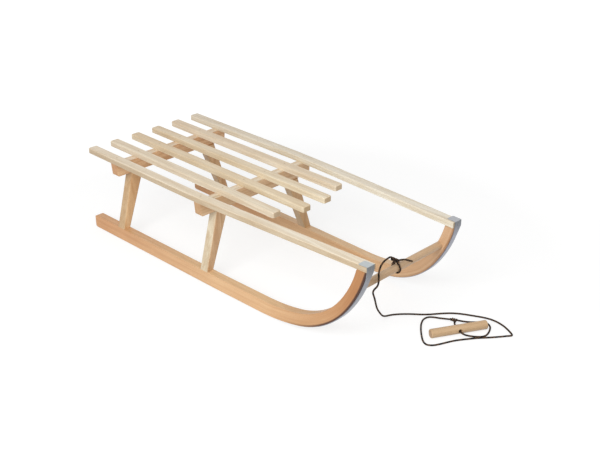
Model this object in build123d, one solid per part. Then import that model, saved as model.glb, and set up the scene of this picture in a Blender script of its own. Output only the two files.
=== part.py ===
from build123d import *
import math
import os

# A wooden sled with bent runners: six slats on two yokes, two steam-bent runners
# shod with steel, a round bar between the runner tips, and a cord with a wooden
# handle that lies on the ground in front of the sled.
# Millimetres. +X points forward, +Y to the left and +Z up. The origin is on the
# ground, below the middle of the sled without its cord.

# Seat
seat_length = 900.0
seat_height = 219.0
seat_width = 352.0
slat_width = 25.0
slat_thickness = 13.0
slat_edge_round = 2.5
slat_corner_round = 5.0
inner_slat_length = 596.0
middle_slat_length = 623.0
slat_count = 6

# The two outer slats bend inwards in front of the front yoke
tip_width = 298.0
slat_bend_place = 425.0
slat_bend_radius = 2500.0

# Yokes: a beam on two splayed legs, tenoned together
beam_thickness = 22.0
beam_height = 32.0
beam_end_inset = 1.5
beam_end_undercut = 3.0
beam_corner_round = 4.0
rear_yoke_place = 92.0
front_yoke_place = 406.0
leg_thickness_top = 24.0
leg_thickness_foot = 25.5
leg_lead_top = 1.5
leg_lead_foot = 4.5
leg_width_top = 36.0
leg_splay = 40.0
tenon_thickness = 10.0
beam_tenon_width = 18.0
beam_tenon_length = 20.0
runner_tenon_width = 10.0
runner_tenon_length = 16.0
tenon_fit = 0.15
tenon_end_gap = 1.0

# Runners: bent upwards in side view, and a little inwards in plan
runner_width = 21.0
runner_depth = 32.0
runner_tip_depth = 25.0
runner_inset = 1.0
runner_toe_in = 0.6
runner_plan_bend_place = 460.0
runner_tip_overhang = 1.5
runner_heel_chamfer = 6.0

# Side view of the bend, from the flat sole to the tip.
# Columns: turn in degrees, radius as a share of the rise
outer_bend_shares = ((11.4, 2.47), (40.3, 1.074), (24.5, 1.48))
inner_bend_shares = ((10.9, 2.67), (43.1, 1.149), (21.9, 1.452))

# Steel bands under the runners, up the front and over the slat ends
band_thickness = 2.0
band_width = 18.0
band_top_length = 22.0

# Bar between the runner tips
bar_diameter = 17.0
bar_setback = 38.0
bar_height = 150.0
bar_seat_depth = 12.0
bar_fit = 0.1

# Cord, its hitch on the bar, its knot, and the handle on its loop
cord_diameter = 4.0
cord_side_count = 6
hitch_place_y = -12.0
hitch_gap = 0.3
knot_diameter = 9.0
knot_end_bevel = 2.5
handle_length = 130.0
handle_diameter = 20.0
handle_edge_bevel = 1.5
handle_hole_diameter = 9.0
handle_turn = 61.3
handle_place = (108.0, 73.0)

# Ends of each knot's body. The hitch's are measured from the bar's axis, and the
# other's forward from the bar and up from the ground.
hitch_knot_ends = ((1, -29, 29), (2.5, -9, 14.5))
loop_knot_ends = ((63, 99.5, 4.6), (83, 105.5, 4.6))

# Points of the cord's route.
# Columns: distance forward of the bar, distance to the left, height above the ground
cord_route = (
    (2, -27, 172),
    (4, -41, 182),
    (8, -58, 186),
    (14, -73, 180),
    (18, -83, 167),
    (17, -84, 150),
    (11, -82, 134),
    (0, -78, 112),
    (-12, -63, 89),
    (-23, -42, 60),
    (-33, -19, 31),
    (-42, 4, 8),
    (-39, 28, 2.1),
    (-16, 55, 2.1),
    (15, 80, 2.1),
    (40, 110, 2.1),
    (69, 137, 2.1),
    (104, 155, 2.1),
    (138, 166, 2.1),
    (172, 158, 2.1),
    (198, 150, 2.1),
    (196, 130, 2.1),
    (172, 106, 2.1),
    (150, 79, 2.1),
    (132, 54, 2.1),
    (119, 27, 2.1),
    (108, 0, 2.1),
    (92, -16, 2.1),
    (69, -3, 2.1),
    (45, 22, 2.1),
    (28, 44, 2.1),
    (19, 68, 2.1),
    (35, 88, 2.1),
    (53, 95, 2.5),
    (68, 101, 4.2),
)

# Points of the small loop through the handle, with the same columns
loop_route = (
    (79, 106.5, 4.4),
    (94, 118, 2.6),
    (108, 133, 2.1),
    (120, 147, 2.1),
    (135, 148.5, 2.1),
    (146, 138, 2.1),
    (152, 123, 2.1),
    (155, 105, 2.1),
    (149, 90, 2.1),
    (138, 74, 5),
    (123.5, 64.5, 7.7),
    (91.5, 82, 7.7),
    (80, 95.5, 6),
    (75.5, 103, 4.8),
)

# Points of the free end that sticks out of the hitch.
# Columns: distance forward of the bar, distance to the left, height above the bar's axis
tail_route = (
    (2, -12, 17.5),
    (8, -2, 19.5),
    (13, 9, 15),
    (17, 20, 9),
)

# How far a cutting shape runs past what it cuts
overrun = 5.0


rear_x = -(seat_length + band_thickness) / 2
slat_underside = seat_height - slat_thickness
beam_underside = slat_underside - beam_height
runner_top = band_thickness + runner_depth
tip_x = rear_x + seat_length
slat_pitch = (seat_width - slat_width) / (slat_count - 1)
toe_slope = math.tan(math.radians(runner_toe_in))
runner_tip_y = tip_width / 2 + runner_tip_overhang
bar_place = seat_length - bar_setback


def save(shape, name):
    export_step(shape, os.path.join("parts", name + ".step"))


def runner_outer_y(place):
    """Distance from the middle plane to a runner's outer face, in its straight part."""
    return seat_width / 2 - runner_inset - toe_slope * place


def plan_outline(outer_edge, inner_edge):
    """Face between two edges that run forward, closed by straight ends."""
    rear = Line(outer_edge @ 0, inner_edge @ 0)
    front = Line(outer_edge @ 1, inner_edge @ 1)
    return make_face(outer_edge.edges() + inner_edge.edges() + rear.edges() + front.edges())


def straight_slat(length, y):
    """Slat with eased edges, its rear end at the seat's rear end."""
    blank = Pos(rear_x + length / 2, y, slat_underside + slat_thickness / 2)
    solid = blank * Box(length, slat_width, slat_thickness)
    solid = fillet(solid.edges().filter_by(Axis.Z), slat_corner_round)
    return fillet(solid.faces().sort_by(Axis.Z)[-1].edges(), slat_edge_round)


def outer_slat(side):
    """Outer slat, bent inwards from the front yoke to the runner's tip."""
    y_rear = (seat_width - slat_width) / 2
    y_tip = (tip_width - slat_width) / 2
    half = slat_width / 2

    def edge(offset):
        rear_point = (rear_x, side * (y_rear + offset))
        bend_point = (rear_x + slat_bend_place, side * (y_rear + offset))
        tip_point = (tip_x, side * (y_tip + offset))
        return FilletPolyline(rear_point, bend_point, tip_point, radius=slat_bend_radius)

    solid = Pos(0, 0, slat_underside) * extrude(plan_outline(edge(half), edge(-half)), slat_thickness)
    rear_corners = solid.edges().filter_by(Axis.Z).sort_by(Axis.X)[:2]
    solid = fillet(rear_corners, slat_corner_round)
    top_edges = solid.faces().sort_by(Axis.Z)[-1].edges().sort_by(Axis.X)[:-1]
    return fillet(top_edges, slat_edge_round)


def beam(yoke_place):
    """Cross beam of a yoke, with a mortise for each leg."""
    half_top = seat_width / 2 - beam_end_inset
    half_bottom = half_top - beam_end_undercut
    outline = Polyline(
        (-half_top, slat_underside),
        (half_top, slat_underside),
        (half_bottom, beam_underside),
        (-half_bottom, beam_underside),
        close=True,
    )
    front_face = Plane(origin=(rear_x + yoke_place, 0, 0), x_dir=(0, 1, 0), z_dir=(1, 0, 0))
    solid = extrude(front_face * make_face(outline), beam_thickness)
    low_corners = solid.edges().filter_by(Axis.X).sort_by(Axis.Z)[:2]
    solid = fillet(low_corners, beam_corner_round)
    for side in (-1, 1):
        solid -= beam_tenon(yoke_place, side, tenon_fit, tenon_end_gap)
    return solid


def leg_top_y(yoke_place):
    """Distance from the middle plane to a leg's outer face, under the beam."""
    return runner_outer_y(yoke_place) - leg_splay


def beam_tenon(yoke_place, side, fit, end_gap):
    """Tenon on a leg's top, or its mortise where a fit is given."""
    x = rear_x + yoke_place + beam_thickness / 2
    y = side * (leg_top_y(yoke_place) - leg_width_top / 2)
    height = beam_tenon_length + end_gap
    box = Box(tenon_thickness + 2 * fit, beam_tenon_width + 2 * fit, height)
    return Pos(x, y, beam_underside + height / 2) * box


def runner_tenon(yoke_place, side, fit, end_gap):
    """Tenon on a leg's foot, or its mortise where a fit is given."""
    x = rear_x + yoke_place + leg_lead_foot + leg_thickness_foot / 2
    y = side * (runner_outer_y(yoke_place) - runner_width / 2)
    height = runner_tenon_length + end_gap
    box = Box(tenon_thickness + 2 * fit, runner_tenon_width + 2 * fit, height)
    return Pos(x, y, runner_top - height / 2) * box


def leg(yoke_place, side):
    """Splayed leg that narrows to the runner's width, with a tenon at each end."""
    foot_y = side * (runner_outer_y(yoke_place) - runner_width / 2)
    top_y = side * (leg_top_y(yoke_place) - leg_width_top / 2)
    foot_x = rear_x + yoke_place + leg_lead_foot + leg_thickness_foot / 2
    top_x = rear_x + yoke_place + leg_lead_top + leg_thickness_top / 2
    foot = Pos(foot_x, foot_y, runner_top) * Rectangle(leg_thickness_foot, runner_width)
    top = Pos(top_x, top_y, beam_underside) * Rectangle(leg_thickness_top, leg_width_top)
    solid = loft([foot, top])
    solid += beam_tenon(yoke_place, side, 0, 0)
    solid += runner_tenon(yoke_place, side, 0, 0)
    return solid


def runner_strip(side, inset, width):
    """Plan of a runner or its band, as a tall solid to be cut to the side view."""
    bend_x = rear_x + runner_plan_bend_place

    def edge(offset):
        rear_point = (rear_x, side * (runner_outer_y(0) - offset))
        bend_point = (bend_x, side * (runner_outer_y(runner_plan_bend_place) - offset))
        tip_point = (tip_x, side * (runner_tip_y - offset))
        straight = Line(rear_point, bend_point)
        bent = TangentArc(bend_point, tip_point, tangent=straight % 1)
        ahead = Line(tip_point, tip_point + (bent % 1) * overrun)
        return Wire([straight, bent, ahead])

    top = seat_height + band_thickness + overrun
    face = plan_outline(edge(inset), edge(inset + width))
    return Pos(0, 0, -overrun) * extrude(face, top + overrun)


def bend_radii(shares, rise):
    """Turns and radii of a bend that climbs by the rise."""
    climbed = 0.0
    heading = 0.0
    for turn, radius_share in shares:
        before = math.cos(math.radians(heading))
        heading += turn
        climbed += radius_share * (before - math.cos(math.radians(heading)))
    return [(turn, radius_share * rise / climbed) for turn, radius_share in shares]


def bend_reach(arcs):
    """How far forward a bend goes."""
    reach = 0.0
    heading = 0.0
    for turn, radius in arcs:
        before = math.sin(math.radians(heading))
        heading += turn
        reach += radius * (math.sin(math.radians(heading)) - before)
    return reach


def bend_edges(start, arcs):
    """Arcs that leave the start level and forward, each tangent to the one before."""
    edges = []
    point = Vector(*start)
    direction = Vector(1, 0)
    for turn, radius in arcs:
        arc = JernArc(start=point, tangent=direction, radius=radius, arc_size=turn)
        edges.append(arc)
        point = arc @ 1
        direction = arc % 1
    return edges


outer_arcs = bend_radii(outer_bend_shares, slat_underside - band_thickness)
inner_arcs = bend_radii(inner_bend_shares, slat_underside - runner_top)
outer_start = (tip_x - bend_reach(outer_arcs), band_thickness)
inner_start = (tip_x - runner_tip_depth - bend_reach(inner_arcs), runner_top)


def runner(side):
    """Runner: its side view cut to its plan, with mortises and the bar's seat."""
    chamfer_low = (rear_x + runner_heel_chamfer, band_thickness)
    chamfer_high = (rear_x, band_thickness + runner_heel_chamfer)
    heel_top = (rear_x, runner_top)
    outer = bend_edges(outer_start, outer_arcs)
    inner = bend_edges(inner_start, inner_arcs)
    outline = [
        Line(inner_start, heel_top),
        Line(heel_top, chamfer_high),
        Line(chamfer_high, chamfer_low),
        Line(chamfer_low, outer_start),
        Line(outer[-1] @ 1, inner[-1] @ 1),
    ]
    side_view = Plane.XZ * make_face(outer + inner + outline)
    solid = extrude(side_view, seat_width, both=True) & runner_strip(side, 0, runner_width)
    for yoke_place in (rear_yoke_place, front_yoke_place):
        solid -= runner_tenon(yoke_place, side, tenon_fit, tenon_end_gap)
    solid -= bar_solid(bar_fit)
    return solid


def band(side):
    """Steel band: under the sole, up the bend and over the slat's end."""
    wood = bend_edges(outer_start, outer_arcs)
    steel_start = (outer_start[0], 0)
    steel = bend_edges(steel_start, [(turn, radius + band_thickness) for turn, radius in outer_arcs])
    heel_x = rear_x + runner_heel_chamfer
    sole = [
        Line((heel_x, 0), steel_start),
        Line((heel_x, 0), (heel_x, band_thickness)),
        Line((heel_x, band_thickness), outer_start),
        Line(wood[-1] @ 1, steel[-1] @ 1),
    ]
    sole_face = make_face(wood + steel + sole)
    foot_z = (steel[-1] @ 1).Y
    cap = Polyline(
        (tip_x, foot_z),
        (tip_x + band_thickness, foot_z),
        (tip_x + band_thickness, seat_height + band_thickness),
        (tip_x - band_top_length, seat_height + band_thickness),
        (tip_x - band_top_length, seat_height),
        (tip_x, seat_height),
        close=True,
    )
    side_view = Plane.XZ * (sole_face + make_face(cap))
    inset = (runner_width - band_width) / 2
    return extrude(side_view, seat_width, both=True) & runner_strip(side, inset, band_width)


def bar_half_length():
    """Half the bar's length, with its seats in both runners."""
    bend_x = runner_plan_bend_place
    progress = (bar_place - bend_x) / (seat_length - bend_x)
    straight_y = runner_outer_y(bar_place)
    pull_in = runner_outer_y(seat_length) - runner_tip_y
    inner_y = straight_y - pull_in * progress ** 2 - runner_width
    return inner_y + bar_seat_depth


def bar_solid(fit):
    """Round bar between the runners, or the space for it where a fit is given."""
    radius = bar_diameter / 2 + fit
    length = 2 * (bar_half_length() + fit)
    axis_place = Location((rear_x + bar_place, 0, bar_height), (90, 0, 0))
    return axis_place * Cylinder(radius, length)


def ahead_of_bar(point, base_height=0):
    """A point given forward of the bar, to the left, and up from the base height."""
    return Vector(rear_x + bar_place + point[0], point[1], base_height + point[2])


def cord_section():
    """Plain section of the cord, a polygon inside its round outline."""
    return RegularPolygon(cord_diameter / 2, cord_side_count)


def cord_tube(route, name, base_height=0):
    """Tube of straight runs and tangent arcs along a route."""
    points = [ahead_of_bar(point, base_height) for point in route]
    radii = []
    for before, corner, after in zip(points, points[1:], points[2:]):
        turn = (corner - before).get_angle(after - corner)
        shorter = min((corner - before).length, (after - corner).length)
        radii.append(0.45 * shorter / math.tan(math.radians(turn / 2)))
    path = FilletPolyline(*points, radius=radii)
    section = Plane(origin=path @ 0, z_dir=path % 0) * cord_section()
    tube = sweep(section, path=path)
    expected = section.area * path.length
    print(name, "radii", [round(radius, 1) for radius in radii])
    print(name, "length", round(path.length, 1), "volume share", round(tube.volume / expected, 5))
    return tube


def knot_body(ends, base_height=0):
    """Barrel with bevelled ends that stands for the turns of a knot."""
    start, end = (ahead_of_bar(point, base_height) for point in ends)
    along = end - start
    barrel = Cylinder(knot_diameter / 2, along.length)
    barrel = chamfer(barrel.edges().filter_by(GeomType.CIRCLE), knot_end_bevel)
    return Plane(origin=start + along / 2, z_dir=along) * barrel


def hitch():
    """The cord's turn round the bar, with the knot on top of it and its free end."""
    ring_radius = bar_diameter / 2 + hitch_gap + cord_diameter / 2
    ring_place = Location((rear_x + bar_place, hitch_place_y, bar_height), (90, 0, 0))
    ring = ring_place * revolve(Plane.XZ * Pos(ring_radius, 0) * cord_section(), Axis.Z)
    knot = knot_body(hitch_knot_ends, bar_height)
    return knot + cord_tube(tail_route, "free end", bar_height) + ring


def handle():
    """Round wooden handle with a cross hole for the loop, lying on the ground."""
    place = ahead_of_bar((handle_place[0], handle_place[1], handle_diameter / 2))
    rod = Rot(0, 90, 0) * Cylinder(handle_diameter / 2, handle_length)
    rod = chamfer(rod.edges().filter_by(GeomType.CIRCLE), handle_edge_bevel)
    rod -= Rot(90, 0, 0) * Cylinder(handle_hole_diameter / 2, handle_diameter + overrun)
    return Location(tuple(place), (0, 0, handle_turn)) * rod


os.makedirs("parts", exist_ok=True)

# Slats are numbered from the right. Their places are counted in pitches from the middle.
for number in range(1, slat_count + 1):
    pitches = number - (slat_count + 1) / 2
    if number in (1, slat_count):
        slat = outer_slat(math.copysign(1, pitches))
    elif abs(pitches) < 1:
        slat = straight_slat(middle_slat_length, pitches * slat_pitch)
    else:
        slat = straight_slat(inner_slat_length, pitches * slat_pitch)
    save(slat, f"slat_{number}")

# Columns: name, place
yokes = (("rear", rear_yoke_place), ("front", front_yoke_place))
# Columns: name, sign of Y
sides = (("right", -1), ("left", 1))
for yoke_name, yoke_place in yokes:
    save(beam(yoke_place), f"beam_{yoke_name}")
    for side_name, side in sides:
        save(leg(yoke_place, side), f"leg_{yoke_name}_{side_name}")
for side_name, side in sides:
    save(runner(side), f"runner_{side_name}")
    save(band(side), f"band_{side_name}")

hitch_solid = hitch()
knot_solid = knot_body(loop_knot_ends)
save(bar_solid(0), "pull_bar")
save(hitch_solid, "cord_hitch")
save(cord_tube(cord_route, "pull cord") - hitch_solid - knot_solid, "pull_cord")
save(knot_solid, "cord_knot")
save(cord_tube(loop_route, "loop") - knot_solid, "cord_loop")
save(handle(), "cord_handle")
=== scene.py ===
import math

import bpy
import numpy as np
from mathutils import Matrix, Vector


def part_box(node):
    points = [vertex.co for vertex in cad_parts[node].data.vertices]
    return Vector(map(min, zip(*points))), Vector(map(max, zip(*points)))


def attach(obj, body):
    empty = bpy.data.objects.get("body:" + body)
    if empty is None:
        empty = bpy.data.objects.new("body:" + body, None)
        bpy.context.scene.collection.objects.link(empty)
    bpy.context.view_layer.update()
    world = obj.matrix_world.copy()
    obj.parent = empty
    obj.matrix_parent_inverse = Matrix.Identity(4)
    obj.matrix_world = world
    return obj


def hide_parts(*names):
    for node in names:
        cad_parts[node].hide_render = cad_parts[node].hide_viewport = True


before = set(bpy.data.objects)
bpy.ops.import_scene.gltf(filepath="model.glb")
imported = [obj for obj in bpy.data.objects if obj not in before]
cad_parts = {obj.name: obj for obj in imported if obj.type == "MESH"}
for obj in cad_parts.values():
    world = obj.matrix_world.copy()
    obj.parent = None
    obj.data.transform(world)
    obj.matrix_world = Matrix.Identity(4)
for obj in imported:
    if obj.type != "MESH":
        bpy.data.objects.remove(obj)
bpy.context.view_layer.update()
scene = bpy.context.scene


# Runners
# Two strips of beech, steamed and bent up at the front, thinner towards the tip and
# drawn in a little towards each other. All long edges are eased by a router, then the
# wood is varnished to a warm orange tone.

seat_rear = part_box("slat_1")[0].x
seat_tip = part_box("slat_1")[1].x
steel_thickness = 0.002
runner_width = 0.021
runner_depth = 0.032
runner_tip_depth = 0.025
runner_top = steel_thickness + runner_depth
runner_reach_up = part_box("runner_right")[1].z
runner_heel_radius = 0.006
runner_heel_steps = 4
runner_edge_radius = 0.0042
runner_half_width = 0.175
toe_in_slope = math.tan(math.radians(0.6))
plan_bend_from = seat_rear + 0.460
tip_half_width = 0.1505

# Bend of each face, from the flat sole to the tip.
# Columns: turn in degrees, radius as a share of the rise, stations
outer_bend = ((11.4, 2.47, 6), (40.3, 1.074, 18), (24.5, 1.48, 12))
inner_bend = ((10.9, 2.67, 6), (43.1, 1.149, 18), (21.9, 1.452, 12))


def paint(rgb):
    """Colour written as 0 to 255 screen values, as the linear colour that a socket takes."""
    return [((c / 255 + 0.055) / 1.055) ** 2.4 if c > 10 else c / 255 / 12.92 for c in rgb] + [1.0]


def bend_line(table, tip_x, low_z, high_z, offset=0.0):
    """A chain of tangent arcs from the flat up to the tip, with its points moved out by the offset."""
    heading, climbed = 0.0, 0.0
    for turn, share, count in table:
        climbed += share * (math.cos(heading) - math.cos(heading + math.radians(turn)))
        heading += math.radians(turn)
    points, x, z, heading = [], 0.0, 0.0, 0.0
    for turn, share, count in table:
        radius = share * (high_z - low_z) / climbed
        centre_x = x - radius * math.sin(heading)
        centre_z = z + radius * math.cos(heading)
        for step in range(1, count + 1):
            angle = heading + math.radians(turn) * step / count
            reach = radius + offset
            points.append((centre_x + reach * math.sin(angle), centre_z - reach * math.cos(angle)))
        heading += math.radians(turn)
        x = centre_x + radius * math.sin(heading)
        z = centre_z - radius * math.cos(heading)
    start_x = tip_x - x
    return start_x, [(start_x + run, low_z + rise) for run, rise in points]


def sockets(group, way, named):
    """Adds named inputs or outputs to a tree. Named has pairs of a name and a kind."""
    for name, kind in named:
        group.interface.new_socket(name=name, in_out=way, socket_type="NodeSocket" + kind)


class Weave:
    """Short way to add nodes to a tree and join them. Inputs are given by name or number."""

    def __init__(self, tree):
        self.tree = tree

    def give(self, node, inputs):
        """Sets a node's inputs, each to a plain value or to what another node puts out."""
        for key, value in inputs.items():
            if isinstance(value, bpy.types.NodeSocket):
                self.tree.links.new(value, node.inputs[key])
            else:
                node.inputs[key].default_value = value

    def add(self, kind, settings=None, inputs=None):
        node = self.tree.nodes.new(kind)
        for key, value in (settings or {}).items():
            setattr(node, key, value)
        self.give(node, inputs or {})
        return node

    def put(self, kind, settings=None, inputs=None):
        """Adds a node of which only the first output is used."""
        return self.add(kind, settings, inputs).outputs[0]

    def math(self, operation, *values, clamp=False):
        settings = {"operation": operation, "use_clamp": clamp}
        return self.put("ShaderNodeMath", settings, dict(enumerate(values)))

    def plus(self, a, b):
        return self.math("ADD", a, b)

    def minus(self, a, b):
        return self.math("SUBTRACT", a, b)

    def times(self, a, b):
        return self.math("MULTIPLY", a, b)

    def vector(self, operation, *values):
        node = self.add("ShaderNodeVectorMath", {"operation": operation}, dict(enumerate(values)))
        return node.outputs["Value" if operation == "LENGTH" else "Vector"]

    def join_xyz(self, x, y, z):
        return self.put("ShaderNodeCombineXYZ", None, {"X": x, "Y": y, "Z": z})

    def split_xyz(self, vector):
        return self.add("ShaderNodeSeparateXYZ", None, {"Vector": vector}).outputs

    def ramp(self, value, low, high, to_low=0.0, to_high=1.0):
        """Value taken from one range to another, held at its ends."""
        return self.put("ShaderNodeMapRange", {"clamp": True}, {
            "Value": value, "From Min": low, "From Max": high,
            "To Min": to_low, "To Max": to_high})

    def mix(self, share, a, b):
        """Colour a, with the share of colour b."""
        node = self.add("ShaderNodeMix", {"data_type": "RGBA"}, {"Factor": share})
        ports = {port.name: number for number, port in enumerate(node.inputs) if port.type == "RGBA"}
        self.give(node, {ports["A"]: a, ports["B"]: b})
        return next(port for port in node.outputs if port.type == "RGBA")

    def tint(self, colour, factors, share=None):
        """Colour multiplied channel by channel, all of it or a share."""
        tinted = self.vector("MULTIPLY", colour, factors)
        return tinted if share is None else self.mix(share, colour, tinted)

    def noise(self, place, detail=2.0, rough=0.5, scale=1.0):
        return self.put("ShaderNodeTexNoise", {"noise_dimensions": "3D"}, {
            "Vector": place, "Scale": scale, "Detail": detail, "Roughness": rough})

    def bump(self, strength, distance, height):
        return self.put("ShaderNodeBump", None, {
            "Strength": strength, "Distance": distance, "Height": height})

    def coordinates(self, name):
        """Object coordinates or Normal, in a material."""
        return self.add("ShaderNodeTexCoord").outputs[name]

    def stored(self, name, port):
        """The mesh's own attribute, in a material."""
        return self.add("ShaderNodeAttribute", {"attribute_name": name}).outputs[port]

    def read(self, name, kind):
        """A named attribute, in a Geometry Nodes tree."""
        node = self.add("GeometryNodeInputNamedAttribute", {"data_type": kind}, {"Name": name})
        return next(port for port in node.outputs if port.enabled and port.name == "Attribute")

    def store(self, geometry, name, kind, value, domain="POINT"):
        return self.put("GeometryNodeStoreNamedAttribute", {"data_type": kind, "domain": domain}, {
            "Geometry": geometry, "Name": name, "Value": value})


# Patterns of the grain: cycles per metre along it and across it
grain_wander = (2.4, 16.0)
grain_rings = (1.3, 120.0)
grain_broad = (6.0, 26.0)
grain_fibres = (16.0, 900.0)
grain_pores = (130.0, 2600.0)
grain_rays = (330.0, 1900.0)
ring_wander = 5.0
end_speckle = 1500.0
board_shift = (0.37, 0.11, 0.23)
# Part of each noise that goes from none to full. Most values lie in the first.
noise_range = (0.3, 0.7)
ring_range = (0.33, 0.68)
broad_range = (0.32, 0.68)
fibre_range = (0.36, 0.70)
ray_range = (0.64, 0.74)
speckle_range = (0.35, 0.65)
end_facing_range = (0.80, 0.95)
# Share of each pattern in the tone, tints of the deep tone, gloss, and relief
ring_share = 0.60
broad_share = 0.40
fibre_share = 0.30
ray_share = 0.40
end_share = 0.75
ray_tint = (0.72, 0.62, 0.52)
end_pale_tint = (0.94, 0.90, 0.85)
end_deep_tint = (0.78, 0.69, 0.59)
wood_roughness = (0.38, 0.50)
ray_roughness = 0.06
fibre_height = 0.7
pore_height = 0.3
ray_depth = 0.3


def build_grain_group():
    """Beech grain. Place and facing are along the grain, across it and into it, in metres."""
    group = bpy.data.node_groups.new("beech grain", "ShaderNodeTree")
    sockets(group, "INPUT", (("Place", "Vector"), ("Facing", "Vector"), ("Pale", "Color"), ("Deep", "Color"),
                             ("Figure", "Float"), ("Board", "Float")))
    sockets(group, "OUTPUT", (("Colour", "Color"), ("Roughness", "Float"), ("Height", "Float")))
    w = Weave(group)
    given = w.add("NodeGroupInput").outputs
    board = w.join_xyz(given["Board"], given["Board"], given["Board"])
    place = w.vector("ADD", given["Place"], w.vector("MULTIPLY", board, board_shift))

    def stretched(pattern):
        along, across = pattern
        return w.vector("MULTIPLY", place, (along, across, across))

    # growth rings cut at a slant: long bands that wander slowly
    wander = w.noise(stretched(grain_wander))
    sideways = w.join_xyz(0.0, w.times(wander, ring_wander), 0.0)
    rings = w.noise(w.vector("ADD", stretched(grain_rings), sideways), detail=3.0, rough=0.6)
    broad = w.noise(stretched(grain_broad))
    fibres = w.noise(stretched(grain_fibres), detail=3.0, rough=0.65)
    pores = w.noise(stretched(grain_pores), detail=1.0)
    # the short dark rays that mark beech
    rays = w.ramp(w.noise(stretched(grain_rays), detail=0.0), *ray_range)
    tone = w.times(w.ramp(rings, *ring_range), ring_share)
    tone = w.plus(tone, w.times(w.ramp(broad, *broad_range), broad_share))
    tone = w.times(tone, given["Figure"])
    fibre_tone = w.times(w.ramp(fibres, *fibre_range), fibre_share)
    tone = w.math("ADD", tone, fibre_tone, clamp=True)
    colour = w.mix(tone, given["Pale"], given["Deep"])
    colour = w.mix(w.times(rays, ray_share), colour, w.tint(given["Deep"], ray_tint))
    # sawn ends drink more varnish
    end = w.ramp(w.math("ABSOLUTE", w.split_xyz(given["Facing"])[0]), *end_facing_range)
    speckle = w.ramp(w.noise(place, rough=0.6, scale=end_speckle), *speckle_range)
    end_colour = w.mix(speckle, w.tint(given["Deep"], end_pale_tint), w.tint(given["Deep"], end_deep_tint))
    colour = w.mix(w.times(end, end_share), colour, end_colour)
    rough = w.ramp(fibres, *noise_range, *wood_roughness)
    rough = w.plus(rough, w.times(rays, ray_roughness))
    height = w.plus(w.times(fibres, fibre_height), w.times(pores, pore_height))
    height = w.minus(height, w.times(rays, ray_depth))
    w.add("NodeGroupOutput", None, {"Colour": colour, "Roughness": rough, "Height": height})
    return group


grain_group = build_grain_group()


def grain_frame(w, axis):
    """Place and facing of a piece whose grain runs along one of the sled's axes."""
    sorted_pair = []
    for name in ("Object", "Normal"):
        x, y, z = w.split_xyz(w.coordinates(name))
        sorted_pair.append(w.join_xyz(*{"X": (x, y, z), "Y": (y, x, z), "Z": (z, x, y)}[axis]))
    return sorted_pair


def blank_finish(name):
    """A new material, the weave of its nodes, and its shader."""
    material = bpy.data.materials.new(name)
    material.use_nodes = True
    return material, Weave(material.node_tree), material.node_tree.nodes["Principled BSDF"]


varnish_specular = 0.4
varnish_coat = 0.2
varnish_coat_roughness = 0.25
grain_bump = (0.15, 0.0004)


def wood(name, pale, deep, board, axis="X", figure=0.7, frame_maker=None, adjust=None):
    """Varnished beech. Its colour can be adjusted by one more step."""
    material, w, shader = blank_finish(name)
    place, facing = frame_maker(w) if frame_maker else grain_frame(w, axis)
    grain = w.add("ShaderNodeGroup", {"node_tree": grain_group}, {
        "Place": place, "Facing": facing, "Pale": paint(pale), "Deep": paint(deep),
        "Figure": figure, "Board": board}).outputs
    w.give(shader, {
        "Base Color": adjust(w, grain["Colour"], place) if adjust else grain["Colour"],
        "Roughness": grain["Roughness"], "Normal": w.bump(*grain_bump, grain["Height"]),
        "Specular IOR Level": varnish_specular, "Coat Weight": varnish_coat,
        "Coat Roughness": varnish_coat_roughness})
    return material


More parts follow.
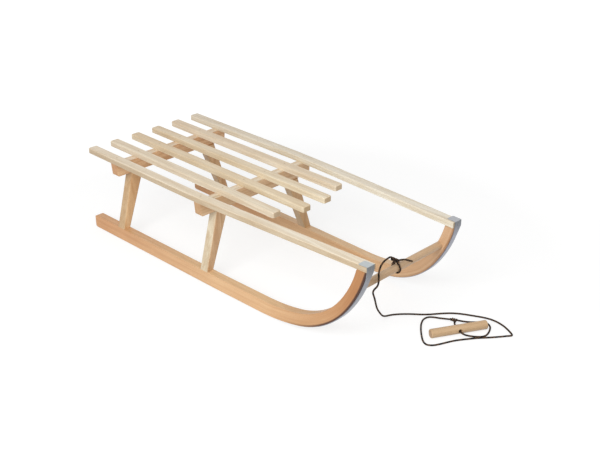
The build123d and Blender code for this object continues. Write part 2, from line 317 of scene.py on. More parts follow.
def build_strip_tree():
    """Sweeps a flat section along a line of stations and draws it in to the sled's plan."""
    tree = bpy.data.node_groups.new("bent strip", "GeometryNodeTree")
    sockets(tree, "INPUT", (
        ("Line", "Geometry"), ("Width", "Float"), ("Side", "Float"), ("Half Width", "Float"),
        ("Toe In", "Float"), ("Plan Bend From", "Float"), ("Tip", "Float"), ("Tip Half Width", "Float"),
        ("Material", "Material")))
    sockets(tree, "OUTPUT", [("Strip", "Geometry")])
    w = Weave(tree)
    given = w.add("NodeGroupInput").outputs
    position = w.put("GeometryNodeInputPosition")
    line = w.store(given["Line"], "low_place", "FLOAT_VECTOR", position)
    line = w.put("GeometryNodeMeshToCurve", None, {"Mesh": line})
    line = w.store(line, "along", "FLOAT", w.add("GeometryNodeSplineParameter").outputs["Length"])
    # the section is one high, so that its height says how far a point is from low to high line
    section = w.put("GeometryNodeCurvePrimitiveQuadrilateral", None, {"Width": given["Width"], "Height": 1.0})
    section_x, section_y, _ = w.split_xyz(position)
    section = w.store(section, "across", "FLOAT", section_x)
    section = w.store(section, "rise", "FLOAT", w.plus(section_y, 0.5))
    strip = w.put("GeometryNodeCurveToMesh", None, {
        "Curve": line, "Profile Curve": section, "Fill Caps": True})
    low = w.read("low_place", "FLOAT_VECTOR")
    high = w.read("high_place", "FLOAT_VECTOR")
    rise = w.read("rise", "FLOAT")
    depth = w.vector("SUBTRACT", high, low)
    scaled = w.put("ShaderNodeVectorMath", {"operation": "SCALE"}, {0: depth, "Scale": rise})
    place = w.vector("ADD", low, scaled)
    x = w.split_xyz(place)[0]
    # outer face in plan: straight with toe-in, then a bend that grows with the square
    rear = w.minus(x, seat_rear)
    outer = w.minus(given["Half Width"], w.times(rear, given["Toe In"]))
    bend_span = w.minus(given["Tip"], given["Plan Bend From"])
    progress = w.math("DIVIDE", w.minus(x, given["Plan Bend From"]), bend_span)
    progress = w.math("MAXIMUM", progress, 0.0)
    tip_straight = w.times(w.minus(given["Tip"], seat_rear), given["Toe In"])
    tip_outer = w.minus(given["Half Width"], tip_straight)
    pull_in = w.minus(tip_outer, given["Tip Half Width"])
    outer = w.minus(outer, w.times(pull_in, w.times(progress, progress)))
    centre = w.minus(outer, w.times(given["Width"], 0.5))
    across = w.times(w.read("across", "FLOAT"), w.read("narrow", "FLOAT"))
    y = w.plus(w.times(centre, given["Side"]), across)
    place = w.vector("ADD", place, w.join_xyz(0.0, y, 0.0))
    into = w.times(rise, w.vector("LENGTH", depth))
    strip = w.store(strip, "grain_place", "FLOAT_VECTOR", w.join_xyz(w.read("along", "FLOAT"), across, into))
    strip = w.put("GeometryNodeSetPosition", None, {"Geometry": strip, "Position": place})
    strip = w.put("GeometryNodeSetMaterial", None, {"Geometry": strip, "Material": given["Material"]})
    w.add("NodeGroupOutput", None, {"Strip": strip})
    return tree


strip_tree = build_strip_tree()


def placed(name, data):
    """A new object of the scene."""
    piece = bpy.data.objects.new(name, data)
    scene.collection.objects.link(piece)
    return piece


def point_values(mesh, name, kind, values):
    """Stores a number or a vector for each point of a mesh."""
    layer = mesh.attributes.new(name, kind, "POINT")
    layer.data.foreach_set("vector" if kind == "FLOAT_VECTOR" else "value", values)


def grow(piece, tree, values):
    """Puts a Geometry Nodes tree on a piece, with its inputs given by their names."""
    modifier = piece.modifiers.new("grown", "NODES")
    modifier.node_group = tree
    for item in tree.interface.items_tree:
        if item.item_type == "SOCKET" and item.in_out == "INPUT" and item.name in values:
            modifier[item.identifier] = values[item.name]


def made_plain(piece):
    """Turns the piece and its modifiers into one plain mesh."""
    bpy.context.view_layer.update()
    mesh = bpy.data.meshes.new_from_object(piece.evaluated_get(bpy.context.evaluated_depsgraph_get()))
    piece.modifiers.clear()
    piece.data = mesh
    mesh.name = piece.name
    return piece


def ease_edges(piece, radii, segments=3, degrees=38):
    """Rounds sharp edges. The radii are for edges that run along X, Y and Z."""
    mesh = piece.data
    largest = max(radii)
    normals = {}
    for polygon in mesh.polygons:
        polygon.use_smooth = True
        for key in polygon.edge_keys:
            normals.setdefault(key, []).append(polygon.normal.copy())
    weights = mesh.attributes.new("bevel_weight_edge", "FLOAT", "EDGE")
    for edge in mesh.edges:
        sides = normals.get(tuple(sorted(edge.vertices)), [])
        if len(sides) == 2 and sides[0].angle(sides[1], 0.0) > math.radians(degrees):
            run = mesh.vertices[edge.vertices[1]].co - mesh.vertices[edge.vertices[0]].co
            axis = max(range(3), key=lambda i: abs(run[i]))
            weights.data[edge.index].value = radii[axis] / largest
    bevel = piece.modifiers.new("eased", "BEVEL")
    bevel.width = largest
    bevel.segments = segments
    bevel.limit_method = "WEIGHT"
    weighted = piece.modifiers.new("flats", "WEIGHTED_NORMAL")
    weighted.weight = 100
    weighted.keep_sharp = True


def bent_strip(name, side, low_line, high_line, edge_radius, material, narrow=None):
    """A strip between two lines of stations, bent to one side's plan. Narrow has shares of its width."""
    mesh = bpy.data.meshes.new(name)
    low = [(x, 0.0, z) for x, z in low_line]
    mesh.from_pydata(low, [(i, i + 1) for i in range(len(low) - 1)], [])
    point_values(mesh, "high_place", "FLOAT_VECTOR", [c for x, z in high_line for c in (x, 0.0, z)])
    point_values(mesh, "narrow", "FLOAT", narrow or [1.0] * len(low))
    piece = placed(name, mesh)
    grow(piece, strip_tree, {
        "Width": runner_width, "Side": float(side), "Half Width": runner_half_width,
        "Toe In": toe_in_slope, "Plan Bend From": plan_bend_from, "Tip": seat_tip,
        "Tip Half Width": tip_half_width, "Material": material,
    })
    made_plain(piece)
    ease_edges(piece, (edge_radius,) * 3, segments=4)
    return made_plain(piece)


outer_start, outer_line = bend_line(outer_bend, seat_tip, steel_thickness, runner_reach_up)
inner_start, inner_line = bend_line(inner_bend, seat_tip - runner_tip_depth, runner_top, runner_reach_up)
low_heel, high_heel = [], []
for step in range(runner_heel_steps, -1, -1):
    angle = math.radians(90) * step / runner_heel_steps
    run = runner_heel_radius * (1 - math.sin(angle))
    drop = runner_heel_radius * (1 - math.cos(angle))
    low_heel.append((seat_rear + run, steel_thickness + drop))
    high_heel.append((seat_rear + run, runner_top - drop))
straight_shares = (0.25, 0.5, 0.75)
low_straight = [(seat_rear + (outer_start - seat_rear) * share, steel_thickness) for share in straight_shares]
high_straight = [(seat_rear + (inner_start - seat_rear) * share, runner_top) for share in straight_shares]
runner_low = low_heel + low_straight + [(outer_start, steel_thickness)] + outer_line
runner_high = high_heel + high_straight + [(inner_start, runner_top)] + inner_line

runner_pale = (236, 198, 152)
runner_deep = (202, 153, 106)
runner_board = 3.1
# Tints of a runner: heel and steamed bend darker, painted light on top, stain and painted shade beside the
# steel
runner_heel_tint = (0.85, 0.69, 0.57)
runner_steam_tints = {"right": (0.64, 0.48, 0.35), "left": (0.86, 0.85, 0.92)}
# a stain and painted shade on the eased edge beside the steel
runner_edge_stain_and_shade_tints = {"right": (0.13, 0.07, 0.03), "left": (0.72, 0.64, 0.58)}
# painted light: the upward faces are paler
runner_top_painted_light = (1.02, 1.10, 1.17)
# Where they start and end: metres from the heel, metres up from the sole, and the normal's height
runner_sawn_end = (0.004, 0.014)
runner_heel_run = (0.05, 0.42)
runner_steam_run = (0.62, 0.94)
runner_edge_stain_and_shade_run = (0.68, 0.80)
runner_edge_stain_and_shade_depth = (0.0030, 0.0058)
runner_painted_light_facing = (0.5, 0.9)


def strip_frame(w):
    """The strip's own grain place. Only its rear end shows sawn wood."""
    place = w.stored("grain_place", "Vector")
    at_heel = w.ramp(w.split_xyz(place)[0], *runner_sawn_end, 1.0, 0.0)
    facing = w.times(w.split_xyz(w.coordinates("Normal"))[0], at_heel)
    return place, w.join_xyz(facing, 0.0, 0.0)


def runner_tones_and_painted_light(side_name):
    """Darker towards the heel and in the steamed bend, painted light on the upward faces, and a stain with
    painted shade on the eased edge beside the steel there.
    """
    def step(w, colour, place):
        along, _, depth = w.split_xyz(place)
        heel = w.ramp(along, *runner_heel_run, 1.0, 0.0)
        colour = w.tint(colour, runner_heel_tint, heel)
        bent = w.ramp(along, *runner_steam_run)
        colour = w.tint(colour, runner_steam_tints[side_name], bent)
        # painted light on the upward faces
        upright = w.ramp(w.split_xyz(w.coordinates("Normal"))[2], *runner_painted_light_facing)
        colour = w.tint(colour, runner_top_painted_light, upright)
        # a stain and painted shade on the eased edge beside the steel, in the bend
        beside_steel = w.ramp(depth, *runner_edge_stain_and_shade_depth, 1.0, 0.0)
        stain_and_shade = w.times(beside_steel, w.ramp(along, *runner_edge_stain_and_shade_run))
        return w.tint(colour, runner_edge_stain_and_shade_tints[side_name], stain_and_shade)
    return step


sides = (("right", -1), ("left", 1))
for number, (side_name, side) in enumerate(sides):
    finish = wood(f"runner beech {side_name}", runner_pale, runner_deep, runner_board + number,
                  frame_maker=strip_frame, adjust=runner_tones_and_painted_light(side_name))
    piece = bent_strip(f"runner_wood_{side_name}", side, runner_low, runner_high, runner_edge_radius, finish)
    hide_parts(f"runner_{side_name}")
    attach(piece, "root")


# Steel bands
# Flat galvanised steel, bent round under each runner, up the front and over the slat's
# tip, where it is widest. Countersunk screws hold it.

band_edge_radius = 0.00035
slat_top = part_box("slat_1")[1].z
# Shares of the runner's width on the runner and at the cap's end. In between the band flares
# out to the full width, from one height to the other.
band_shoe_share = 0.70
cap_end_share = 0.86
flare_low = 0.184
flare_high = 0.206
# The fold over the tip, and the cap behind it, which lies lower and gets thinner to its end
fold_radius = 0.0024
fold_steps = 6
cap_drop = 0.0013
cap_length = 0.022
cap_end_thickness = 0.0005
cap_shares = (0.8, 1.0)

steel_sole = (186, 190, 198)
# painted light on the caps' tops, and painted shade down the fronts and at the folds, other on each side
steel_cap_painted_light = {"right": (191, 197, 198), "left": (180, 182, 186)}
steel_front_painted_shades = {"right": (160, 163, 171), "left": (169, 172, 184)}
steel_fold_painted_shades = {"right": (124, 127, 129), "left": (128, 131, 136)}
# Heights, and the normal's height, between which a tone gives way to the next
steel_front_shade_heights = (0.04, 0.13)
steel_fold_shade_heights = (0.180, slat_top - 0.004)
steel_cap_light_facing = (0.75, 0.95)
steel_streaks = (18.0, 2600.0, 2600.0)
steel_spangle = (160.0, 160.0, 160.0)
steel_spangle_tint = (0.76, 0.77, 0.80)
steel_spangle_range = (0.35, 0.7)
steel_spangle_share = 0.5
steel_roughness = (0.30, 0.46)
steel_metallic = 0.5
steel_bump = (0.08, 0.0002)


def steel(name, side_name):
    """Galvanised flat bar with streaks along it, painted light on the cap's top, and painted shade down its
    front and at its fold.
    """
    material, w, shader = blank_finish(name)
    place = w.stored("grain_place", "Vector")
    streaks = w.noise(w.vector("MULTIPLY", place, steel_streaks), detail=3.0, rough=0.6)
    spangle = w.noise(w.vector("MULTIPLY", place, steel_spangle))
    height = w.split_xyz(w.coordinates("Object"))[2]
    upright = w.split_xyz(w.coordinates("Normal"))[2]
    # painted shade down the front and at the fold, painted light on the cap
    colour = w.mix(w.ramp(height, *steel_front_shade_heights), paint(steel_sole), paint(steel_front_painted_shades[side_name]))
    colour = w.mix(w.ramp(height, *steel_fold_shade_heights), colour, paint(steel_fold_painted_shades[side_name]))
    colour = w.mix(w.ramp(upright, *steel_cap_light_facing), colour, paint(steel_cap_painted_light[side_name]))
    dull = w.ramp(spangle, *steel_spangle_range, 0.0, steel_spangle_share)
    w.give(shader, {
        "Base Color": w.tint(colour, steel_spangle_tint, dull),
        "Roughness": w.ramp(streaks, *noise_range, *steel_roughness),
        "Normal": w.bump(*steel_bump, streaks), "Metallic": steel_metallic})
    return material


_, skin_line = bend_line(outer_bend, seat_tip, steel_thickness, runner_reach_up, steel_thickness)
band_start = seat_rear + runner_heel_radius
band_inside = [(band_start, steel_thickness)] + low_straight + [(outer_start, steel_thickness)] + outer_line
band_outside = [(band_start, 0.0)] + [(x, 0.0) for x, z in low_straight] + [(outer_start, 0.0)] + skin_line
band_inside[-1] = (seat_tip, runner_reach_up)
band_outside[-1] = (seat_tip + steel_thickness, runner_reach_up)
fold_x = seat_tip + steel_thickness - fold_radius
fold_z = slat_top + steel_thickness - fold_radius
for step in range(fold_steps + 1):
    angle = math.radians(90) * step / fold_steps
    inner_radius = fold_radius - steel_thickness
    band_inside.append((fold_x + inner_radius * math.cos(angle), fold_z + inner_radius * math.sin(angle)))
    band_outside.append((fold_x + fold_radius * math.cos(angle),
                         fold_z + (fold_radius - cap_drop) * math.sin(angle)))
for share in cap_shares:
    back = fold_x + (seat_tip - cap_length - fold_x) * share
    band_inside.append((back, slat_top))
    band_outside.append((back, slat_top + steel_thickness - cap_drop
                         + (cap_end_thickness - steel_thickness + cap_drop) * share))
band_narrow = []
for x, z in band_outside:
    flare = min(1.0, max(0.0, (z - flare_low) / (flare_high - flare_low)))
    band_narrow.append(band_shoe_share + (1.0 - band_shoe_share) * flare)
band_narrow[-1] = cap_end_share
for side_name, side in sides:
    finish = steel(f"galvanised steel {side_name}", side_name)
    piece = bent_strip(f"steel_{side_name}", side, band_outside, band_inside, band_edge_radius, finish,
                       band_narrow)
    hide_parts(f"band_{side_name}")
    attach(piece, "root")


# Yokes
# Two cross beams, each on two splayed legs that are tenoned into beam and runner.
# Planed beech with eased edges, a little greyer than the runners.

beam_edge_radii = (0.0015, 0.0022, 0.0032)
leg_edge_radii = (0.0003, 0.0003, 0.0036)
yoke_board = 7.3
yoke_figure = 0.9
# Columns: node, pale tone, deep tone, way of the grain, eased edges, and the axis that the faces
# without painted light look along, with the painted light and shade of the others
yoke_pieces = (
    ("beam_rear", (252, 242, 224), (206, 173, 136), "Y", beam_edge_radii, 2, (0.93, 0.70, 0.50)),
    ("beam_front", (252, 243, 226), (205, 178, 141), "Y", beam_edge_radii, 2, (0.91, 0.74, 0.58)),
    ("leg_rear_right", (218, 192, 153), (179, 139, 95), "Z", leg_edge_radii, 1, (1.22, 1.12, 1.03)),
    ("leg_rear_left", (213, 185, 146), (175, 134, 91), "Z", leg_edge_radii, 1, (1.22, 1.12, 1.03)),
    ("leg_front_right", (235, 228, 205), (193, 166, 130), "Z", leg_edge_radii, 1, (0.95, 0.74, 0.59)),
    ("leg_front_left", (213, 185, 146), (186, 155, 116), "Z", leg_edge_radii, 1, (1.10, 0.98, 0.87)),
)
# how far a face turns before it takes the painted light and shade
other_face_range = (0.35, 0.75)
weld_distance = 0.00002
flat_within = math.radians(1.5)


def painted_facing_light(axis, tint):
    """A step of the wood that paints light and shade on the faces that don't look along the axis."""
    def step(w, colour, place):
        facing = w.math("ABSOLUTE", w.split_xyz(w.coordinates("Normal"))[axis])
        return w.tint(colour, tint, w.ramp(facing, *other_face_range, 1.0, 0.0))
    return step


def eased_copy(node, name, radii, material):
    """The CAD piece's own shape, as one joined mesh with rounded edges."""
    piece = placed(name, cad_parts[node].data.copy())
    piece.data.materials.clear()
    piece.data.materials.append(material)
    if piece.data.has_custom_normals:
        with bpy.context.temp_override(active_object=piece, object=piece, selected_objects=[piece]):
            bpy.ops.mesh.customdata_custom_splitnormals_clear()
    piece.modifiers.new("weld", "WELD").merge_threshold = weld_distance
    flat = piece.modifiers.new("flat", "DECIMATE")
    flat.decimate_type = "DISSOLVE"
    flat.angle_limit = flat_within
    made_plain(piece)
    ease_edges(piece, radii)
    return made_plain(piece)


for number, (node, pale, deep, grain_axis, radii, unpainted_axis, tint) in enumerate(yoke_pieces):
    finish = wood(f"{node} beech", pale, deep, yoke_board + number, grain_axis, yoke_figure,
                  adjust=painted_facing_light(unpainted_axis, tint))
    piece = eased_copy(node, f"{node}_wood", radii, finish)
    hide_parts(node)
    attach(piece, "root")


# Slats
# Six planed beech slats with rounded ends, screwed down to the beams. Each comes from
# another board, so some are pinker and some more yellow.

slat_width = 0.025
outer_slat_edge_radii = (0.0018, 0.0018, 0.0012)
inner_slat_edge_radii = (0.0018, 0.0028, 0.0040)
slat_board = 15.7
slat_figure = 0.8
# Columns: node, pale tone, deep tone, painted light and shade on the narrow faces
slat_tones = (
    ("slat_1", (247, 236, 216), (209, 184, 149), (0.71, 0.65, 0.57)),
    ("slat_2", (245, 234, 211), (206, 180, 145), (0.97, 0.98, 1.0)),
    ("slat_3", (237, 219, 188), (200, 169, 127), (0.96, 1.0, 1.05)),
    ("slat_4", (241, 226, 198), (203, 175, 136), (0.97, 0.98, 0.98)),
    ("slat_5", (242, 226, 201), (202, 173, 135), (1.04, 1.1, 1.18)),
    ("slat_6", (242, 233, 216), (204, 183, 151), (1.02, 1.04, 1.05)),
)
# painted light: darker towards the rear, brighter towards the front
slat_rear_painted_shade = (0.94, 0.92, 0.90)
slat_front_painted_light = (1.02, 1.05, 1.08)
slat_painted_light_run = (-0.44, -0.06)


def slat_finish(side_painted_light):
    """Painted light and shade on the narrow faces, and painted light that is brighter towards the front and
    dimmer towards the rear.
    """
    tinted = painted_facing_light(2, side_painted_light)

    def step(w, colour, place):
        forward = w.ramp(w.split_xyz(w.coordinates("Object"))[0], *slat_painted_light_run)
        colour = w.mix(forward, w.tint(colour, slat_rear_painted_shade), w.tint(colour, slat_front_painted_light))
        return tinted(w, colour, place)
    return step


for number, (node, pale, deep, side_painted_light) in enumerate(slat_tones):
    finish = wood(f"{node} beech", pale, deep, slat_board + number, "X", slat_figure,
                  adjust=slat_finish(side_painted_light))
    radii = outer_slat_edge_radii if node in ("slat_1", "slat_6") else inner_slat_edge_radii
    piece = eased_copy(node, f"{node}_wood", radii, finish)
    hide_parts(node)
    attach(piece, "root")


# Screws
# Small countersunk screws hold the slats to the beams, and larger ones hold the steel
# under the soles and to the slats' tips. Each head has a cross recess.

slat_screw_radius = 0.0016
band_screw_radius = 0.0027
screw_rim = 0.00035
screw_stand = 0.00012
screw_sides = 28
screw_seed = 11
# Arms of the recess, as shares of the head's radius
recess_length = 1.15
recess_width = 0.26
recess_lift = 0.5
# Columns: head tone, its metal share, rim tone
slat_screw_tones = ((196, 176, 146), 0.15, (182, 158, 127))
band_screw_tones = ((150, 151, 153), 0.7, (84, 84, 86))
screw_head_roughness = 0.45
screw_rim_roughness = 0.8


def build_screw_tree():
    """Puts a countersunk head on every point, turned to the point's facing."""
    tree = bpy.data.node_groups.new("screw heads", "GeometryNodeTree")
    sockets(tree, "INPUT", (("Points", "Geometry"), ("Radius", "Float"), ("Rim", "Float"), ("Stand", "Float"),
                            ("Head Material", "Material"), ("Rim Material", "Material")))
    sockets(tree, "OUTPUT", [("Heads", "Geometry")])
    w = Weave(tree)
    given = w.add("NodeGroupInput").outputs

    def disc(radius, height):
        return w.add("GeometryNodeMeshCylinder", None, {
            "Vertices": screw_sides, "Radius": radius,
            "Depth": w.times(height, 2.0)}).outputs["Mesh"]

    head = disc(given["Radius"], given["Stand"])
    arm = w.times(given["Radius"], recess_length)
    narrow = w.times(given["Radius"], recess_width)
    lift = w.join_xyz(0.0, 0.0, w.times(given["Radius"], recess_lift))
    cutters = w.add("GeometryNodeJoinGeometry")
    for size in ((arm, narrow, given["Radius"]), (narrow, arm, given["Radius"])):
        block = w.add("GeometryNodeMeshCube", None, {"Size": w.join_xyz(*size)}).outputs["Mesh"]
        w.give(cutters, {0: w.put("GeometryNodeTransform", None, {
            "Geometry": block, "Translation": lift})})
    carve = w.add("GeometryNodeMeshBoolean", {"operation": "DIFFERENCE", "solver": "EXACT"}, {
        "Mesh 1": head, "Mesh 2": cutters.outputs[0], "Self Intersection": True})
    marked = w.store(carve.outputs["Mesh"], "head", "BOOLEAN", True, "FACE")
    rim = disc(w.plus(given["Radius"], given["Rim"]), w.times(given["Stand"], 0.5))
    both = w.add("GeometryNodeJoinGeometry", None, {0: marked})
    w.give(both, {0: rim})
    turned = w.put("FunctionNodeAlignRotationToVector", {"axis": "Z"}, {
        "Vector": w.read("facing", "FLOAT_VECTOR")})
    angle = w.add("FunctionNodeRandomValue", {"data_type": "FLOAT"}, {
        2: 0.0, 3: math.pi / 2, "Seed": screw_seed}).outputs[1]
    twist = w.put("FunctionNodeAxisAngleToRotation", None, {"Axis": (0.0, 0.0, 1.0), "Angle": angle})
    spin = w.put("FunctionNodeRotateRotation", {"rotation_space": "LOCAL"}, {
        "Rotation": turned, "Rotate By": twist})
    heads = w.put("GeometryNodeInstanceOnPoints", None, {
        "Points": given["Points"], "Instance": both.outputs[0], "Rotation": spin})
    heads = w.put("GeometryNodeRealizeInstances", None, {"Geometry": heads})
    heads = w.put("GeometryNodeSetMaterial", None, {"Geometry": heads, "Material": given["Rim Material"]})
    heads = w.put("GeometryNodeSetMaterial", None, {
        "Geometry": heads, "Material": given["Head Material"],
        "Selection": w.read("head", "BOOLEAN")})
    w.add("NodeGroupOutput", None, {"Heads": heads})
    return tree


screw_tree = build_screw_tree()


def plain_finish(name, colour, metallic, roughness):
    """A finish of one even tone."""
    material, w, shader = blank_finish(name)
    w.give(shader, {"Base Color": paint(colour), "Metallic": metallic, "Roughness": roughness})
    return material


def screw_heads(name, places, radius, tones):
    """A set of screws. Places are pairs of a point and the way that it faces."""
    head_tone, metal_share, rim_tone = tones
    mesh = bpy.data.meshes.new(name)
    mesh.from_pydata([point for point, way in places], [], [])
    point_values(mesh, "facing", "FLOAT_VECTOR", [c for point, way in places for c in way])
    piece = placed(name, mesh)
    grow(piece, screw_tree, {
        "Radius": radius, "Rim": screw_rim, "Stand": screw_stand,
        "Head Material": plain_finish(f"{name} head", head_tone, metal_share, screw_head_roughness),
        "Rim Material": plain_finish(f"{name} rim", rim_tone, 0.0, screw_rim_roughness)})
    made_plain(piece)
    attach(piece, "root")


beam_middles = [(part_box(beam)[0].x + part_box(beam)[1].x) / 2 for beam in ("beam_rear", "beam_front")]
slat_screws = []
for node, _, _, _ in slat_tones:
    low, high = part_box(node)
    outer_y = high.y if high.y > 0 else low.y
    middle_y = outer_y - math.copysign(slat_width / 2, outer_y)
    for x in beam_middles:
        slat_screws.append(((x, middle_y, slat_top), (0.0, 0.0, 1.0)))
screw_heads("slat_screws", slat_screws, slat_screw_radius, slat_screw_tones)

sole_screw_places = (-0.425, -0.31, -0.12, 0.05)
tip_screw_height = 0.2115
band_screws = []
for side_name, side in sides:
    for x in sole_screw_places:
        middle = runner_half_width - toe_in_slope * (x - seat_rear) - runner_width / 2
        band_screws.append(((x, side * middle, 0.0), (0.0, 0.0, -1.0)))
    middle = tip_half_width - runner_width / 2
    band_screws.append(((seat_tip + steel_thickness, side * middle, tip_screw_height), (1.0, 0.0, 0.0)))
screw_heads("band_screws", band_screws, band_screw_radius, band_screw_tones)


# Pull bar
# A round bar of varnished beech, glued into blind holes in the two runners. The cord is
# tied round it.

bar_pale = (212, 183, 149)
bar_deep = (184, 147, 108)
bar_board = 23.5
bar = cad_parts["pull_bar"]
bar.data.materials.clear()
bar.data.materials.append(wood("pull bar beech", bar_pale, bar_deep, bar_board, "Y"))


# Cord
# Four millimetre braided polyester, black with brown tracer yarns. It is knotted round
# the bar, hangs to the ground, and ends in a small loop that passes through the handle.

cord_diameter = 0.004
bar_low, bar_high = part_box("pull_bar")
bar_x = (bar_low.x + bar_high.x) / 2
bar_z = (bar_low.z + bar_high.z) / 2

# Millimetres forward of the bar, to the left, and above the ground
cord_route = (
    (2, -27, 179), (2.5, -34, 186), (5, -49, 187.5), (7, -61, 187), (9, -71.5, 184), (11.5, -79, 179),
    (14, -85, 171.5), (15.5, -86, 160.5), (14.5, -84.5, 149), (10.5, -84, 138), (3, -85, 129),
    (-3, -81.5, 117.5), (-5.5, -74, 104.5), (-11.6, -63.2, 89.1), (-20.6, -48.9, 68.2),
    (-28.5, -35, 48), (-36.5, -14.5, 24), (-42, 4, 5.5), (-39, 28, 2.1), (-16, 55, 2.1),
    (15, 80, 2.1), (36, 109, 2.1), (52, 126.5, 2.1), (70, 139, 2.1), (90, 149, 2.1), (110, 159, 2.1),
    (127, 164.5, 2.1), (145, 165, 2.1), (164, 161, 2.1), (182, 153, 2.1), (194.5, 146, 2.1),
    (197, 141, 2.1), (191.5, 135, 2.1), (184, 124, 2.1), (171, 107, 2.1), (161, 95, 2.1), (150.5, 83, 2.1),
    (141, 69.7, 2.1), (130, 53.6, 2.1), (122.5, 41.5, 2.1), (115.5, 25.7, 2.1), (108.5, 8, 2.1),
    (101.5, -5.5, 2.1), (90.5, -13.5, 2.1), (78, -9, 2.1), (62, 6, 2.1), (45.5, 24, 2.1),
    (30.5, 43.5, 2.1), (22, 61.5, 2.1), (23.5, 75, 2.1), (31.5, 83, 2.1), (45, 90, 2.1), (56.6, 96.5, 2.6),
    (68, 101, 4.2),
)
loop_route = (
    (79, 106.5, 4.4), (93, 115.5, 2.6), (107, 128, 2.1), (119, 142, 2.1), (131, 146, 2.1),
    (143.5, 139.5, 2.1), (152, 125, 2.1), (157.5, 109, 2.1), (157, 98, 2.1), (150.5, 88.5, 2.4),
    (139.5, 75.5, 4.6), (123.5, 64.5, 7.7), (91.5, 82, 7.7), (80, 95.5, 6), (75.5, 103, 4.8),
)
millimetre = 0.001


def routed(points, base_height=0.0):
    """Route points as places in the sled's frame."""
    return [(bar_x + x * millimetre, y * millimetre, base_height + z * millimetre) for x, y, z in points]


def smooth_line(points, resolution=24):
    """The smooth line of a cord whose control points are given."""
    curve = bpy.data.curves.new("route", "CURVE")
    curve.dimensions = "3D"
    curve.resolution_u = resolution
    spline = curve.splines.new("NURBS")
    spline.points.add(len(points) - 1)
    for target, point in zip(spline.points, points):
        target.co = (*point, 1.0)
    spline.order_u = 3
    spline.use_endpoint_u = True
    holder = placed("route", curve)
    bpy.context.view_layer.update()
    mesh = bpy.data.meshes.new_from_object(holder)
    line = [tuple(v.co) for v in mesh.vertices]
    bpy.data.objects.remove(holder)
    bpy.data.curves.remove(curve)
    bpy.data.meshes.remove(mesh)
    return line


def even_line(line, step):
    """The same line with evenly spaced points, and how far along it each lies."""
    line = np.array(line)
    gaps = np.linalg.norm(np.diff(line, axis=0), axis=1)
    run = np.concatenate([[0.0], np.cumsum(gaps)])
    count = max(8, int(run[-1] / step))
    at = np.linspace(0.0, run[-1], count + 1)
    return np.stack([np.interp(at, run, line[:, axis]) for axis in range(3)], axis=1), at


braid_pitch = 0.018
braid_yarns = 8
braid_relief = 0.0002
braid_around = 32
braid_step = 0.00046
# Where a yarn runs over or under another, as shares of its ridge's height
yarn_height = 0.72
yarn_crossing = 0.28
# The ends of a cord are drawn in over this length, to a share of its width
braid_end = 0.0015
braid_end_share = 0.02
# Which yarns of each set are brown
right_brown_yarns = (0, 3)
left_brown_yarns = (1,)


def braid(name, line):
    """Braided cord along a line: two sets of yarns that pass over and under each other."""
    centres, run = even_line(line, braid_step)
    tangents = np.gradient(centres, axis=0)
    tangents /= np.linalg.norm(tangents, axis=1)[:, None]
    normal = np.cross(tangents[0], (0.0, 0.0, 1.0))
    if np.linalg.norm(normal) < 0.1:
        normal = np.cross(tangents[0], (1.0, 0.0, 0.0))
    normals = []
    for tangent in tangents:
        normal = normal - tangent * normal.dot(tangent)
        normal /= np.linalg.norm(normal)
        normals.append(normal)
    normals = np.array(normals)
    sideways = np.cross(tangents, normals)

    # each set's ridges wind round the cord, one to the right and one to the left
    angle = 2 * math.pi * np.arange(braid_around) / braid_around
    turn = angle[None, :] / (2 * math.pi)
    twist = (run / braid_pitch)[:, None]
    right = braid_yarns * (turn + twist)
    left = braid_yarns * (turn - twist)
    right_ridge = np.cos(math.pi * (right - np.round(right)))
    left_ridge = np.cos(math.pi * (left - np.round(left)))
    over = np.where((np.round(right) + np.round(left)) % 2 == 0, 1.0, -1.0)
    right_height = right_ridge * (yarn_height + yarn_crossing * over * left_ridge)
    left_height = left_ridge * (yarn_height - yarn_crossing * over * right_ridge)
    height = np.maximum(right_height, left_height)
    radius = cord_diameter / 2 - braid_relief * (1.0 - height)
    taper = np.sqrt(np.clip(np.minimum(run, run[-1] - run) / braid_end, braid_end_share, 1.0))
    radius = radius * taper[:, None]
    outward = np.cos(angle)[None, :, None] * normals[:, None, :]
    outward = outward + np.sin(angle)[None, :, None] * sideways[:, None, :]
    place = centres[:, None, :] + radius[..., None] * outward

    rings, around = radius.shape
    index = np.arange(rings * around).reshape(rings, around)
    beside = np.roll(index, -1, axis=1)
    faces = np.stack([index[:-1], beside[:-1], beside[1:], index[1:]], axis=-1).reshape(-1, 4).tolist()
    faces.append(index[0][::-1].tolist())
    faces.append(index[-1].tolist())
    mesh = bpy.data.meshes.new(name)
    mesh.from_pydata(place.reshape(-1, 3).tolist(), [], faces)
    right_brown = np.isin(np.round(right).astype(int) % braid_yarns, right_brown_yarns)
    left_brown = np.isin(np.round(left).astype(int) % braid_yarns, left_brown_yarns)
    brown = np.where(right_height >= left_height, right_brown, left_brown)
    point_values(mesh, "tracer", "FLOAT", brown.astype(np.float32).ravel())
    point_values(mesh, "valley", "FLOAT", (1.0 - height).astype(np.float32).ravel())
    mesh.polygons.foreach_set("use_smooth", [True] * len(mesh.polygons))
    mesh.update()
    return placed(name, mesh), centres


cord_black = (16, 14, 15)
cord_brown = (150, 112, 78)
cord_fuzz = (90, 80, 76)
cord_valley_painted_shade = (8, 7, 7)
fuzz_scale = 2600.0
fuzz_share = 0.20
fuzz_paling = 0.6
valley_shade_range = (0.2, 1.0)
valley_shade_share = 0.85
cord_bump = (0.3, 0.0002)
cord_roughness = 0.85
cord_specular = 0.2


